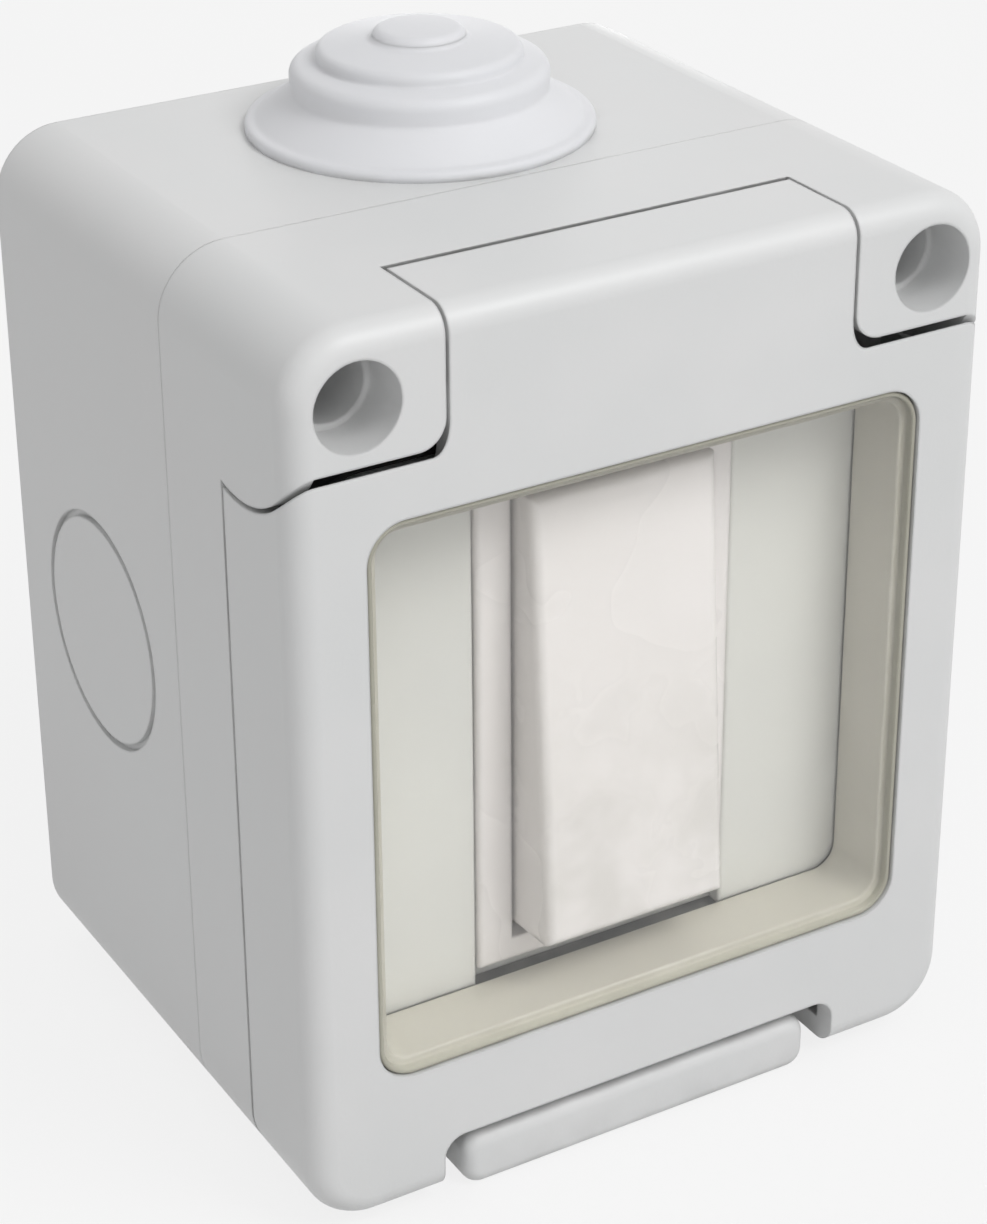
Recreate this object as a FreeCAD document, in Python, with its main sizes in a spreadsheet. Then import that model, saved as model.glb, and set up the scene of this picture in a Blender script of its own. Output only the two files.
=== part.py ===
import FreeCAD, Part
import math
import os
import re
import Sketcher

# Surface-mounted weatherproof switch: a back box, a front frame with a flap lid, and a rocker insert.
# X is to the right, Z is up, and the wall is the plane y = 0. Depths count forward from the wall.

os.makedirs("parts", exist_ok=True)
doc = FreeCAD.newDocument("weatherproof_switch")

# Driving dimensions in millimetres and degrees
sizes = {
    # enclosure
    "box_width": 66.0,
    "box_height": 82.0,
    "box_depth": 55.0,
    "corner_round": 6.0,
    "front_round": 2.2,
    "wall": 2.2,
    "back_wall": 2.5,
    "seam_depth": 33.0,
    "lid_depth": 11.7,
    "slide_fit": 0.05,
    "seat_gap": 0.1,
    # fixings between box and frame
    "screw_side": 6.1,
    "screw_end": 6.3,
    "screw_shank": 3.0,
    "screw_head": 5.6,
    "screw_head_high": 2.2,
    "screw_recess": 1.8,
    "screw_bite": 9.0,
    "screw_slot": 0.8,
    "slot_reach": 1.8,
    "screw_play": 0.2,
    "boss_dia": 9.0,
    "well_dia": 7.6,
    "well_step": 5.0,
    "well_low_dia": 6.4,
    "fixing_spacing": 60.0,
    "fixing_dia": 4.5,
    "fixing_pad": 9.0,
    "fixing_pad_high": 1.0,
    # cable entries
    "entry_shift": 0.5,
    "entry_dia": 21.0,
    "knockout_dia": 22.0,
    "knockout_line": 0.6,
    "knockout_cut": 0.5,
    # grommet steps above the box's top face
    "grommet_skin": 1.3,
    "grommet_round": 0.75,
    "grommet_lip": 1.3,
    "grommet_lip_high": 1.4,
    "flange_radius": 15.3,
    "flange_high": 0.9,
    "slope_radius": 14.4,
    "low_step_radius": 11.3,
    "low_foot_high": 3.4,
    "low_step_high": 5.6,
    "mid_step_radius": 9.0,
    "mid_foot_high": 6.1,
    "mid_step_high": 7.2,
    "nub_radius": 3.9,
    "nub_foot_high": 7.8,
    "nub_high": 8.8,
    # seal between box and frame
    "rim_seal_inset": 0.6,
    "rim_seal_width": 1.0,
    "rim_seal_deep": 1.0,
    # hinge corner blocks and catch bar
    "block_width": 13.7,
    "block_height": 11.3,
    "block_corner": 2.5,
    "cheek_thick": 2.2,
    "cheek_setback": 8.8,
    "cheek_fall": 5.2,
    "hinge_setback": 7.6,
    "hinge_drop": 2.0,
    "pin_dia": 2.0,
    "pin_bite": 2.2,
    "trough_gap": 0.4,
    "trough_wall": 1.4,
    "bar_side": 15.0,
    "bar_rise": 4.0,
    "bar_drop": 1.3,
    "bar_inset": 0.5,
    "bar_thick": 4.0,
    "bar_round": 1.2,
    "bar_corner": 1.8,
    # flap lid
    "lid_wall": 2.2,
    "lid_gap": 0.3,
    "lid_turn_gap": 0.4,
    "lid_corner": 1.6,
    "flange_reach": 2.0,
    "lug_inner": 12.0,
    "lug_radius": 1.9,
    "notch_gap": 2.4,
    "notch_over": 1.4,
    "notch_round": 2.0,
    # window in the lid
    "window_side": 6.5,
    "window_below": 13.3,
    "window_above": 16.6,
    "window_round": 3.5,
    "collar_wall": 1.0,
    "collar_deep": 7.4,
    "pane_thick": 1.4,
    "pane_inset": 0.2,
    "tray_wall": 1.2,
    # lip seal that the lid closes on
    "lip_width": 1.4,
    "lip_root": 1.0,
    "lip_gap": 0.5,
    # carrier and blanking plates
    "carrier_gap": 0.6,
    "carrier_thick": 2.0,
    "carrier_screw_side": 6.6,
    "carrier_screw_end": 9.05,
    "carrier_shank": 2.5,
    "carrier_head": 4.4,
    "carrier_head_high": 1.1,
    "carrier_bite": 5.0,
    "boss_end": 1.0,
    "insert_gap": 0.5,
    "carrier_boss": 5.5,
    "blank_thick": 1.5,
    "blank_round": 0.375,
    "blank_leg": 1.2,
    "blank_leg_long": 6.0,
    # switch insert
    "module_drop": 0.8,
    "bezel_width": 25.2,
    "bezel_end": 1.75,
    "bezel_thick": 1.9,
    "housing_deep": 28.7,
    "housing_wall": 1.4,
    "rocker_width": 18.0,
    "rocker_end": 3.5,
    "rocker_wall": 1.7,
    "rocker_skirt": 2.0,
    "rocker_face": 9.5,
    "pivot_deep": 3.3,
    "rocker_tilt": 4.0,
    "rocker_side_gap": 0.35,
    "rocker_end_gap": 1.2,
    "trunnion_dia": 3.0,
    "post_dia": 5.2,
    "post_reach": 4.0,
    "plunger_dia": 3.0,
    "plunger_reach": 9.5,
    "spring_wire": 0.5,
    "spring_bend": 0.05,
    "spring_turns": 5.0,
    "lever_deep": 13.8,
    "lever_tilt": 5.0,
    "lever_thick": 1.0,
    "lever_width": 6.0,
    "lever_half": 8.9,
    "lever_pin": 1.5,
    "contact_offset": 7.5,
    "contact_dia": 2.4,
    "contact_high": 0.7,
    "contact_gap": 0.35,
    "strip_thick": 0.8,
    "strip_width": 5.0,
    "ear_gap": 0.7,
    "ear_over": 1.5,
    "terminal_end": 5.3,
    "clamp_width": 6.4,
    "clamp_tall": 5.8,
    "clamp_long": 5.0,
    "clamp_wall": 1.2,
    "clamp_screw": 2.5,
    "clamp_head": 3.6,
}

# Places and sizes that follow from them, so that a change of the enclosure carries the rest along
places = {
    "half_width": "box_width / 2",
    "half_height": "box_height / 2",
    "band_depth": "box_depth - lid_depth",
    "screw_x": "half_width - screw_side",
    "screw_z": "half_height - screw_end",
    "entry_depth": "seam_depth / 2 + entry_shift",
    "block_inner": "half_width - block_width",
    "block_bottom": "half_height - block_height",
    "hinge_depth": "box_depth - hinge_setback",
    "hinge_z": "half_height - hinge_drop",
    "cheek_depth": "box_depth - cheek_setback",
    "cheek_z": "half_height - cheek_fall",
    "bar_width": "box_width - 2 * bar_side",
    "bar_top": "half_height - bar_rise",
    "notch_width": "bar_width + 2 * notch_gap",
    "notch_top": "bar_top - notch_over",
    "window_width": "box_width - 2 * window_side",
    "window_low": "half_height - window_below",
    "window_high": "half_height - window_above",
    "collar_back": "box_depth - collar_deep",
    "carrier_front": "band_depth + carrier_thick",
    "carrier_screw_x": "bezel_width / 2 + carrier_screw_side",
    "carrier_screw_z": "(window_low + window_high) / 2 - carrier_screw_end",
    "bezel_height": "window_low + window_high - 2 * bezel_end",
    "housing_back": "carrier_front - housing_deep",
    "rocker_height": "bezel_height - 2 * rocker_end",
    "rocker_pivot": "carrier_front - pivot_deep",
    "lever_pivot": "carrier_front - lever_deep",
    "terminal_step": "rocker_height / 2 - terminal_end",
}

sheet = doc.addObject("Spreadsheet::Sheet", "size")
cells = {alias: str(number) for alias, number in sizes.items()}
cells.update({alias: f"={formula}" for alias, formula in places.items()})
for row, (alias, content) in enumerate(cells.items(), start=1):
    sheet.set(f"A{row}", alias)
    sheet.set(f"B{row}", content)
    sheet.setAlias(f"B{row}", alias)
doc.recompute()


def bound(text):
    """Write a formula of size names as an expression on the sheet's cells."""
    return re.sub(r"[a-z][a-z_]*", lambda word: f"size.{word[0]}" if word[0] in cells else word[0], text)


def value(text):
    """Give the present number of a formula of size names."""
    return float(sheet.evalExpression(bound(text)))


def tie(item, prop, text):
    """Bind one property of an object to a formula of size names."""
    item.setExpression(prop, bound(text))


def new_body(label):
    body = doc.addObject("PartDesign::Body", label)
    body.Label = label
    return body


def origin_part(body, role):
    return next(item for item in body.Origin.OriginFeatures if item.Role == role)


def new_sketch(body, plane, offset="0"):
    """Sketch on a plane of the body's origin: XZ faces forward, YZ to the right and XY up."""
    sketch = body.newObject("Sketcher::SketchObject", f"{body.Label}_sketch")
    sketch.AttachmentSupport = [(origin_part(body, f"{plane}_Plane"), "")]
    sketch.MapMode = "FlatFace"
    tie(sketch, "AttachmentOffset.Base.z", offset)
    return sketch


def dimension(sketch, kind, item, point, text):
    """Constrain a point's place from the sketch origin, or a curve's radius, to a formula."""
    if kind == "Radius":
        rule = Sketcher.Constraint(kind, item, value(text))
    else:
        rule = Sketcher.Constraint(kind, -1, 1, item, point, value(text))
    index = sketch.addConstraint(rule)
    tie(sketch, f"Constraints[{index}]", text)


def place_point(sketch, item, point, across, up):
    dimension(sketch, "DistanceX", item, point, across)
    dimension(sketch, "DistanceY", item, point, up)


def circle(sketch, across, up, radius):
    """Circle with its centre and radius tied to formulas."""
    centre = FreeCAD.Vector(value(across), value(up), 0)
    item = sketch.addGeometry(Part.Circle(centre, FreeCAD.Vector(0, 0, 1), value(radius)))
    place_point(sketch, item, 3, across, up)
    dimension(sketch, "Radius", item, 0, radius)


def polygon(sketch, corners):
    """Closed outline of straight lines with every corner tied to formulas."""
    points = [FreeCAD.Vector(value(across), value(up), 0) for across, up in corners]
    lines = []
    for start, end in zip(points, points[1:] + points[:1]):
        lines.append(sketch.addGeometry(Part.LineSegment(start, end)))
    for line, after in zip(lines, lines[1:] + lines[:1]):
        sketch.addConstraint(Sketcher.Constraint("Coincident", line, 2, after, 1))
    for line, (across, up) in zip(lines, corners):
        place_point(sketch, line, 1, across, up)


def rectangle(sketch, left, right, low, high):
    polygon(sketch, [(left, low), (right, low), (right, high), (left, high)])


def round_rectangle(sketch, left, right, low, high, radius):
    """Rectangle with four equal tangent corner arcs."""
    x_low, x_high, y_low, y_high, r = [value(text) for text in (left, right, low, high, radius)]
    x_near, x_far = x_low + r, x_high - r
    y_near, y_far = y_low + r, y_high - r
    centres = [(x_far, y_near), (x_far, y_far), (x_near, y_far), (x_near, y_near)]
    arcs = []
    for turn, (x, y) in enumerate(centres):
        ring = Part.Circle(FreeCAD.Vector(x, y, 0), FreeCAD.Vector(0, 0, 1), r)
        start = (turn - 1) * math.pi / 2
        arcs.append(sketch.addGeometry(Part.ArcOfCircle(ring, start, start + math.pi / 2)))
    geometry = sketch.Geometry
    for turn, arc in enumerate(arcs):
        after = arcs[(turn + 1) % 4]
        side = sketch.addGeometry(Part.LineSegment(geometry[arc].EndPoint, geometry[after].StartPoint))
        sketch.addConstraint(Sketcher.Constraint("Tangent", arc, 2, side, 1))
        sketch.addConstraint(Sketcher.Constraint("Tangent", side, 2, after, 1))
        sketch.addConstraint(Sketcher.Constraint("Vertical" if turn % 2 == 0 else "Horizontal", side))
    for arc in arcs[1:]:
        sketch.addConstraint(Sketcher.Constraint("Equal", arcs[0], arc))
    dimension(sketch, "Radius", arcs[0], 0, radius)
    dimension(sketch, "DistanceX", arcs[0], 2, right)
    dimension(sketch, "DistanceY", arcs[0], 1, low)
    dimension(sketch, "DistanceX", arcs[2], 2, left)
    dimension(sketch, "DistanceY", arcs[2], 1, high)


def settle(body, feature, before, grows):
    """Recompute a new feature and check that it added or removed material."""
    body.Tip = feature
    doc.recompute()
    change = feature.Shape.Volume - before
    if (change > 0) != grows or abs(change) < 1e-6:
        raise RuntimeError(f"{body.Label}: {feature.Name} changed the volume by {change:.4f}")
    return feature


def volume_of(body):
    return body.Tip.Shape.Volume if body.Tip else 0.0


def extrude(body, kind, sketch, length, back=False, both=False):
    before = volume_of(body)
    feature = body.newObject(f"PartDesign::{kind}", f"{body.Label}_{kind.lower()}")
    feature.Profile = sketch
    tie(feature, "Length", length)
    feature.Reversed = back
    if both:
        feature.SideType = "Symmetric"
    return settle(body, feature, before, kind == "Pad")


def pad(body, sketch, length, back=False, both=False):
    return extrude(body, "Pad", sketch, length, back, both)


def pocket(body, sketch, length, back=False, both=False):
    return extrude(body, "Pocket", sketch, length, back, both)


def mirror(body, feature, plane="YZ"):
    """Repeat a feature on the other side of one of the body's origin planes."""
    before = volume_of(body)
    twin = body.newObject("PartDesign::Mirrored", f"{body.Label}_mirror")
    twin.Originals = [feature]
    twin.MirrorPlane = (origin_part(body, f"{plane}_Plane"), [""])
    return settle(body, twin, before, "Pocket" not in feature.TypeId)


def revolve(body, sketch, axis="V_Axis"):
    before = volume_of(body)
    feature = body.newObject("PartDesign::Revolution", f"{body.Label}_turned")
    feature.Profile = sketch
    feature.ReferenceAxis = (sketch, [axis])
    feature.Angle = 360
    return settle(body, feature, before, True)


def soften(body, radius, chosen, grows=False):
    """Round the edges of the body's present shape that the test picks out."""
    base = body.Tip
    names = [f"Edge{n}" for n, edge in enumerate(base.Shape.Edges, start=1) if chosen(edge.BoundBox)]
    feature = body.newObject("PartDesign::Fillet", f"{body.Label}_round")
    feature.Base = (base, names)
    tie(feature, "Radius", radius)
    return settle(body, feature, base.Shape.Volume, grows)


def near(first, second):
    return abs(first - second) < 0.01


def at_depth(box, depth):
    """True for an edge that lies wholly at one depth from the wall."""
    return near(box.YMin, -depth) and near(box.YMax, -depth)


# Formulas that several pieces share
seat_depth = "(band_depth - screw_recess)"
trough_radius = "(sqrt(flange_reach ^ 2 + (half_height - hinge_z) ^ 2) + trough_gap)"
barrel_radius = "sqrt(cheek_setback ^ 2 + (cheek_z - block_bottom) ^ 2)"
cheek_low = f"(cheek_z - {barrel_radius} - lid_turn_gap)"
lid_back = "(band_depth + lid_gap)"
carrier_edge = "((collar_wall - lip_width) / 2 - carrier_gap)"
corners = [(side, level) for side in ("", "-") for level in ("", "-")]


def outer_outline(sketch, inset="0"):
    """The enclosure's front outline, moved inward by an inset."""
    round_rectangle(
        sketch,
        f"-half_width + {inset}",
        f"half_width - {inset}",
        f"-half_height + {inset}",
        f"half_height - {inset}",
        f"corner_round - {inset}",
    )


def window_outline(sketch, grow):
    """The lid's window outline, moved outward by an amount."""
    round_rectangle(
        sketch,
        f"-window_width / 2 - ({grow})",
        f"window_width / 2 + ({grow})",
        f"-window_low - ({grow})",
        f"window_high + ({grow})",
        f"window_round + ({grow})",
    )


def screw_circles(sketch, diameter, levels=("", "-")):
    for side, level in corners:
        if level in levels:
            circle(sketch, f"{side}screw_x", f"{level}screw_z", f"({diameter}) / 2")


def make_back_box():
    body = new_body("back_box")
    sketch = new_sketch(body, "XZ")
    outer_outline(sketch)
    pad(body, sketch, "seam_depth")
    sketch = new_sketch(body, "XZ", "seam_depth")
    outer_outline(sketch, "wall")
    pocket(body, sketch, "seam_depth - back_wall")
    # bosses that the four frame screws bite into
    sketch = new_sketch(body, "XZ")
    screw_circles(sketch, "boss_dia")
    pad(body, sketch, "seam_depth")
    sketch = new_sketch(body, "XZ", "seam_depth")
    screw_circles(sketch, "screw_shank + 2 * slide_fit")
    pocket(body, sketch, "screw_bite + 1")
    # raised pads and holes for the two wall screws
    sketch = new_sketch(body, "XZ", "back_wall")
    for level in ("", "-"):
        circle(sketch, "0", f"{level}fixing_spacing / 2", "fixing_pad / 2")
    pad(body, sketch, "fixing_pad_high")
    sketch = new_sketch(body, "XZ", "back_wall + fixing_pad_high")
    for level in ("", "-"):
        circle(sketch, "0", f"{level}fixing_spacing / 2", "fixing_dia / 2")
    pocket(body, sketch, "back_wall + fixing_pad_high")
    # cable hole in the top wall
    sketch = new_sketch(body, "XY", "half_height")
    circle(sketch, "0", "-entry_depth", "entry_dia / 2")
    pocket(body, sketch, "wall")
    # knockout lines on both sides and the bottom
    sketch = new_sketch(body, "YZ", "half_width")
    knockout_ring(sketch, "-entry_depth", "0")
    groove = pocket(body, sketch, "knockout_cut")
    mirror(body, groove)
    sketch = new_sketch(body, "XY", "-half_height")
    knockout_ring(sketch, "0", "-entry_depth")
    pocket(body, sketch, "knockout_cut", back=True)
    # groove for the seal in the rim
    sketch = new_sketch(body, "XZ", "seam_depth")
    outer_outline(sketch, "rim_seal_inset")
    outer_outline(sketch, "(rim_seal_inset + rim_seal_width)")
    pocket(body, sketch, "rim_seal_deep")


def knockout_ring(sketch, across, up):
    circle(sketch, across, up, "knockout_dia / 2")
    circle(sketch, across, up, "knockout_dia / 2 - knockout_line")


def make_base_seal():
    body = new_body("base_seal")
    sketch = new_sketch(body, "XZ", "seam_depth - rim_seal_deep")
    outer_outline(sketch, "(rim_seal_inset + slide_fit)")
    outer_outline(sketch, "(rim_seal_inset + rim_seal_width - slide_fit)")
    pad(body, sketch, "rim_seal_deep")


def make_cable_grommet():
    body = new_body("cable_grommet")
    neck = "entry_dia / 2 - slide_fit"
    bore = f"{neck} - grommet_skin"
    sketch = new_sketch(body, "XZ")
    polygon(sketch, [
        ("0", "nub_high"),
        ("nub_radius", "nub_high"),
        ("nub_radius", "nub_foot_high"),
        ("mid_step_radius", "mid_step_high"),
        ("mid_step_radius", "mid_foot_high"),
        ("low_step_radius", "low_step_high"),
        ("low_step_radius", "low_foot_high"),
        ("slope_radius", "flange_high"),
        ("flange_radius", "flange_high"),
        ("flange_radius", "0"),
        (neck, "0"),
        (neck, "-wall"),
        ("entry_dia / 2 + grommet_lip", "-wall"),
        (bore, "-wall - grommet_lip_high"),
        (bore, "low_step_high - grommet_skin"),
        ("mid_step_radius - grommet_skin", "low_step_high - grommet_skin"),
        ("mid_step_radius - grommet_skin", "mid_step_high - grommet_skin"),
        ("nub_radius - grommet_skin", "mid_step_high - grommet_skin"),
        ("nub_radius - grommet_skin", "nub_high - grommet_skin"),
        ("0", "nub_high - grommet_skin"),
    ])
    revolve(body, sketch)
    rims = [value("nub_high"), value("mid_step_high"), value("low_step_high"), value("flange_high")]
    reach = [value("nub_radius"), value("mid_step_radius"), value("low_step_radius"), value("flange_radius")]

    def outer_rim(box):
        return any(near(box.ZMin, z) and near(box.ZMax, z) and near(box.XMax, r) for z, r in zip(rims, reach))

    soften(body, "grommet_round", outer_rim)
    tie(body, "Placement.Base.y", "-entry_depth")
    tie(body, "Placement.Base.z", "half_height")


def make_front_frame():
    body = new_body("front_frame")
    sketch = new_sketch(body, "XZ", "seam_depth")
    outer_outline(sketch)
    pad(body, sketch, "box_depth - seam_depth")
    soften(body, "front_round", lambda box: at_depth(box, value("box_depth")))
    # only the two corner blocks reach the front; the rest stops at the front plate
    sketch = new_sketch(body, "XZ", "box_depth")
    polygon(sketch, [
        ("-box_width", "-box_height"),
        ("box_width", "-box_height"),
        ("box_width", cheek_low),
        ("half_width - cheek_thick", cheek_low),
        ("half_width - cheek_thick", "block_bottom"),
        ("block_inner", "block_bottom"),
        ("block_inner", "box_height"),
        ("-block_inner", "box_height"),
        ("-block_inner", "block_bottom"),
        ("cheek_thick - half_width", "block_bottom"),
        ("cheek_thick - half_width", cheek_low),
        ("-box_width", cheek_low),
    ])
    pocket(body, sketch, "box_depth - band_depth")
    front, inner, bottom = value("box_depth"), value("block_inner"), value("block_bottom")

    def lower_inner_edge(box):
        along = near(box.YMin, -front)
        return along and near(box.ZMin, bottom) and near(box.ZMax, bottom) and near(abs(box.XMin), inner) \
            and near(abs(box.XMax), inner)

    soften(body, "block_corner", lower_inner_edge)
    # round lower edge of the cheeks that close the sides under the blocks
    sketch = new_sketch(body, "YZ", "half_width - cheek_thick")
    cheek_outline(sketch)
    cheek = pocket(body, sketch, "2 * cheek_thick", back=True)
    mirror(body, cheek)
    # hollow behind the front plate, with columns over the bosses of the box
    sketch = new_sketch(body, "XZ", "seam_depth")
    outer_outline(sketch, "wall")
    pocket(body, sketch, "band_depth - seam_depth - wall", back=True)
    sketch = new_sketch(body, "XZ", "seam_depth")
    screw_circles(sketch, "boss_dia")
    pad(body, sketch, "band_depth - seam_depth")
    # solid behind the hinge trough
    trough_back = f"hinge_depth - {trough_radius} - trough_wall"
    sketch = new_sketch(body, "XZ", trough_back)
    low = f"hinge_z - {trough_radius} - trough_wall"
    rectangle(sketch, "-block_inner", "block_inner", low, "half_height")
    pad(body, sketch, f"{trough_radius} + trough_wall - flange_reach")
    # hinge trough between the blocks, and the bores for the pin's ends
    sketch = new_sketch(body, "YZ")
    circle(sketch, "-hinge_depth", "hinge_z", trough_radius)
    pocket(body, sketch, "2 * block_inner", both=True)
    sketch = new_sketch(body, "YZ")
    circle(sketch, "-hinge_depth", "hinge_z", "pin_dia / 2 + slide_fit")
    pocket(body, sketch, "2 * (block_inner + pin_bite)", both=True)
    # stepped screw wells in the blocks, recesses for the lower screws, and their holes
    sketch = new_sketch(body, "XZ", "box_depth")
    screw_circles(sketch, "well_dia", levels=("",))
    pocket(body, sketch, "well_step")
    sketch = new_sketch(body, "XZ", "box_depth")
    screw_circles(sketch, "well_low_dia", levels=("",))
    pocket(body, sketch, f"box_depth - {seat_depth}")
    sketch = new_sketch(body, "XZ", "band_depth")
    screw_circles(sketch, "well_low_dia", levels=("-",))
    pocket(body, sketch, "screw_recess")
    sketch = new_sketch(body, "XZ", seat_depth)
    screw_circles(sketch, "screw_shank + screw_play")
    pocket(body, sketch, f"{seat_depth} - seam_depth")
    # bosses for the carrier screws, and the opening for the switch insert
    sketch = new_sketch(body, "XZ", "band_depth - wall")
    carrier_circles(sketch, "carrier_boss")
    pad(body, sketch, "carrier_bite + boss_end - wall", back=True)
    sketch = new_sketch(body, "XZ", "band_depth")
    carrier_circles(sketch, "carrier_shank + 2 * slide_fit")
    pocket(body, sketch, "carrier_bite + boss_end + seat_gap")
    sketch = new_sketch(body, "XZ", "band_depth")
    housing_outline(sketch, "insert_gap")
    pocket(body, sketch, "wall")
    # groove that the lid's lip seal stands in
    sketch = new_sketch(body, "XZ", "band_depth")
    window_outline(sketch, "(collar_wall + lip_width) / 2 + slide_fit")
    window_outline(sketch, "(collar_wall - lip_width) / 2 - slide_fit")
    pocket(body, sketch, "lip_root")
    make_catch_bar(body)


def cheek_outline(sketch):
    """Room under a cheek: its round lower edge starts at the front edge of the corner block."""
    front, back, far = "-box_depth", "-band_depth", "-(box_depth + front_round)"
    centre = FreeCAD.Vector(-value("cheek_depth"), value("cheek_z"), 0)
    ring = Part.Circle(centre, FreeCAD.Vector(0, 0, 1), value(barrel_radius))
    angles = [1.5 * math.pi + math.asin((value(edge) - centre.x) / ring.Radius) for edge in (front, back)]
    curve = Part.ArcOfCircle(ring, *angles)
    path = [(back, cheek_low), (far, cheek_low), (far, "block_bottom")]
    corners = [FreeCAD.Vector(value(x), value(y), 0) for x, y in path]
    arc = sketch.addGeometry(curve)
    ends = [curve.EndPoint] + corners + [curve.StartPoint]
    lines = [sketch.addGeometry(Part.LineSegment(*pair)) for pair in zip(ends, ends[1:])]
    loop = [arc] + lines
    for line, after in zip(loop, lines + [arc]):
        sketch.addConstraint(Sketcher.Constraint("Coincident", line, 2, after, 1))
    place_point(sketch, arc, 3, "-cheek_depth", "cheek_z")
    dimension(sketch, "Radius", arc, 0, barrel_radius)
    dimension(sketch, "DistanceX", arc, 1, front)
    dimension(sketch, "DistanceX", arc, 2, back)
    for line, (x, y) in zip(lines, path):
        place_point(sketch, line, 2, x, y)


def make_catch_bar(body):
    """Tongue from the frame's bottom wall that ends in the rounded bar under the lid."""
    front = "box_depth - bar_inset"
    sketch = new_sketch(body, "XZ", "band_depth")
    rectangle(sketch, "-bar_width / 2", "bar_width / 2", "-half_height", "-half_height + wall")
    pad(body, sketch, f"{front} - bar_thick / 2 - band_depth")
    sketch = new_sketch(body, "XZ", f"{front} - bar_thick")
    low = "-half_height - bar_drop"
    round_rectangle(sketch, "-bar_width / 2", "bar_width / 2", low, "-bar_top", "bar_corner")
    pad(body, sketch, "bar_thick")
    depth, top = value(front), -value("bar_top")
    soften(body, "bar_round", lambda box: at_depth(box, depth) and (box.ZMax < top or near(box.ZMax, top)))


def carrier_circles(sketch, diameter):
    for side, level in corners:
        height = f"-module_drop + {level}carrier_screw_z"
        circle(sketch, f"{side}carrier_screw_x", height, f"({diameter}) / 2")


def housing_outline(sketch, grow):
    """Outline of the switch housing, moved outward by an amount."""
    across = f"rocker_width / 2 + 2 * rocker_side_gap + housing_wall + ({grow})"
    along = f"rocker_height / 2 + rocker_end_gap + housing_wall + ({grow})"
    rectangle(sketch, f"-({across})", across, f"-module_drop - ({along})", f"-module_drop + {along}")


def make_frame_screws():
    body = new_body("frame_screws")
    sketch = new_sketch(body, "XZ", seat_depth)
    screw_circles(sketch, "screw_head")
    pad(body, sketch, "screw_head_high")
    sketch = new_sketch(body, "XZ", seat_depth)
    screw_circles(sketch, "screw_shank")
    pad(body, sketch, f"{seat_depth} - seam_depth + screw_bite", back=True)
    sketch = new_sketch(body, "XZ", f"{seat_depth} + screw_head_high")
    for side, level in corners:
        cross_slot(sketch, f"{side}screw_x", f"{level}screw_z", "slot_reach", "screw_slot / 2")
    pocket(body, sketch, "screw_head_high / 2")


def cross_slot(sketch, across, up, reach, half):
    """Twelve-cornered cross for a screwdriver, with its centre at a screw's axis."""
    quarter = [(reach, half), (half, half), (half, reach)]
    outline = []
    for sign_x, sign_z, order in (("+", "+", 1), ("-", "+", -1), ("-", "-", 1), ("+", "-", -1)):
        for x, z in quarter[::order]:
            outline.append((f"{across} {sign_x} {x}", f"{up} {sign_z} {z}"))
    polygon(sketch, outline)


def make_hinge_pin():
    body = new_body("hinge_pin")
    sketch = new_sketch(body, "YZ")
    circle(sketch, "-hinge_depth", "hinge_z", "pin_dia / 2")
    pad(body, sketch, "2 * (block_inner + pin_bite - seat_gap)", both=True)


def make_lid():
    body = new_body("lid")
    sketch = new_sketch(body, "XZ", lid_back)
    outer_outline(sketch)
    pad(body, sketch, f"box_depth - {lid_back}")
    soften(body, "front_round", lambda box: at_depth(box, value("box_depth")))
    # corners cut away round the cheeks, so that the lid turns under the blocks
    sketch = new_sketch(body, "YZ", "block_inner - lid_gap")
    circle(sketch, "-cheek_depth", "cheek_z", f"{barrel_radius} + lid_turn_gap")
    corner = pocket(body, sketch, "box_width / 2", back=True)
    mirror(body, corner)
    side = value("block_inner - lid_gap")

    def round_corner(box):
        flat = near(box.XMin, box.XMax) and near(abs(box.XMin), side)
        return flat and box.ZMax < value("block_bottom")

    soften(body, "lid_corner", round_corner, grows=True)
    sketch = new_sketch(body, "XZ", lid_back)
    outer_outline(sketch, "lid_wall")
    pocket(body, sketch, f"box_depth - lid_wall - {lid_back}", back=True)
    # rear edge of the flange between the blocks
    sketch = new_sketch(body, "XZ", lid_back)
    rectangle(sketch, "-block_inner", "block_inner", "block_bottom", "box_height")
    pocket(body, sketch, f"hinge_depth - flange_reach - {lid_back}", back=True)
    # hinge lugs under the flange, and the bore that turns on the pin
    sketch = new_sketch(body, "YZ", "lug_inner")
    circle(sketch, "-hinge_depth", "hinge_z", "lug_radius")
    lug = pad(body, sketch, "block_inner - lid_gap - lug_inner")
    mirror(body, lug)
    sketch = new_sketch(body, "YZ")
    circle(sketch, "-hinge_depth", "hinge_z", "pin_dia / 2 + slide_fit")
    pocket(body, sketch, "2 * block_inner", both=True)
    # window opening with its collar, and the notch over the catch bar
    sketch = new_sketch(body, "XZ", "box_depth")
    window_outline(sketch, "0")
    pocket(body, sketch, "lid_wall")
    sketch = new_sketch(body, "XZ", "collar_back")
    window_outline(sketch, "collar_wall")
    window_outline(sketch, "0")
    pad(body, sketch, "box_depth - lid_wall / 2 - collar_back")
    sketch = new_sketch(body, "XZ", "box_depth")
    round_rectangle(sketch, "-notch_width / 2", "notch_width / 2", "-box_height", "-notch_top", "notch_round")
    pocket(body, sketch, "box_depth - band_depth")


def make_window_cover():
    body = new_body("window_cover")
    sketch = new_sketch(body, "XZ", "collar_back")
    window_outline(sketch, "-seat_gap")
    pad(body, sketch, "box_depth - pane_inset - collar_back")
    sketch = new_sketch(body, "XZ", "collar_back")
    window_outline(sketch, "-seat_gap - tray_wall")
    pocket(body, sketch, "box_depth - pane_inset - pane_thick - collar_back", back=True)


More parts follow.
